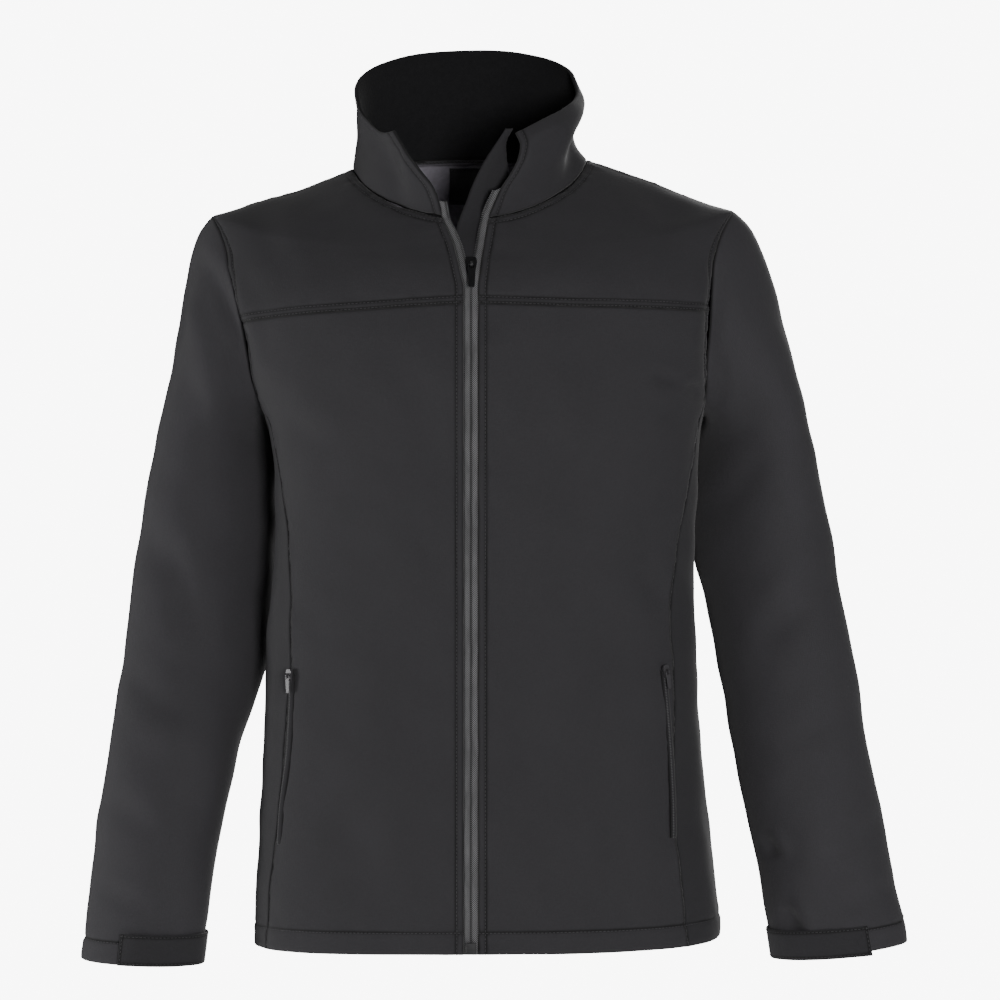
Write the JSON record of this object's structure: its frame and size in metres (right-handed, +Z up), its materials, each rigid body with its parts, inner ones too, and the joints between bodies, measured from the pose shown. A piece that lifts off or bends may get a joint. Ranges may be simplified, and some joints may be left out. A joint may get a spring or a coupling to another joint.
{
  "type": "softshell jacket",
  "caption": "Softshell jacket with a stand collar, full zip, chest yoke seam, zipped side pockets and cuff tabs, filled out as when worn.",
  "frame": {"origin": "inside the neck, level with the high points of the shoulders, on the line of the closed zip", "axes": "+Z up, front of the jacket towards -Y, +X towards the wearer's left"},
  "size_m": [0.74, 0.2472, 0.8281],
  "materials": {
    "cloth": "matte woven softshell",
    "side_cloth": "matte woven softshell",
    "fleece": "matte brushed fleece",
    "zip_tape": "matte woven tape",
    "zip_metal": "satin black enamel",
    "label": "satin woven label, bare",
    "neck_tape": "matte tape"
  },
  "bodies": {
    "jacket": {"front_right": "cloth", "front_left": "cloth", "yoke_right": "cloth", "yoke_left": "cloth", "side_right": "side_cloth", "side_left": "side_cloth", "back": "cloth", "sleeve_right": "cloth", "sleeve_left": "cloth", "collar": "cloth", "collar_inner": "fleece", "zip_tape_right": "zip_tape", "zip_tape_left": "zip_tape", "zip_slider": "zip_metal", "zip_box": "zip_metal", "pocket_zip_right": "zip_tape", "pocket_slider_right": "zip_metal", "pocket_zip_left": "zip_tape", "pocket_slider_left": "zip_metal", "storm_flap": "side_cloth", "neck_tape": "neck_tape", "neck_label": "label", "cuff_tab_right": "side_cloth", "cuff_tab_left": "side_cloth"},
    "zip_pull": {"zip_pull": "zip_metal"},
    "pocket_pull_right": {"pocket_pull_right": "zip_metal"},
    "pocket_pull_left": {"pocket_pull_left": "zip_metal"}
  },
  "joints": [
    {"name": "zip_pull_swing", "type": "hinge", "parent": "jacket", "child": "zip_pull", "pos_m": [0.0005, -0.11546, -0.09319], "axis": [-1, -0.0005, 0.0002], "range_deg": [0, 150]},
    {"name": "pocket_pull_right_swing", "type": "hinge", "parent": "jacket", "child": "pocket_pull_right", "pos_m": [-0.16129, -0.08113, -0.45243], "axis": [-0.7155, 0.6941, -0.0797], "range_deg": [0, 150]},
    {"name": "pocket_pull_left_swing", "type": "hinge", "parent": "jacket", "child": "pocket_pull_left", "pos_m": [0.17221, -0.08774, -0.44822], "axis": [-0.7839, -0.6118, -0.1058], "range_deg": [0, 150]}
  ]
}
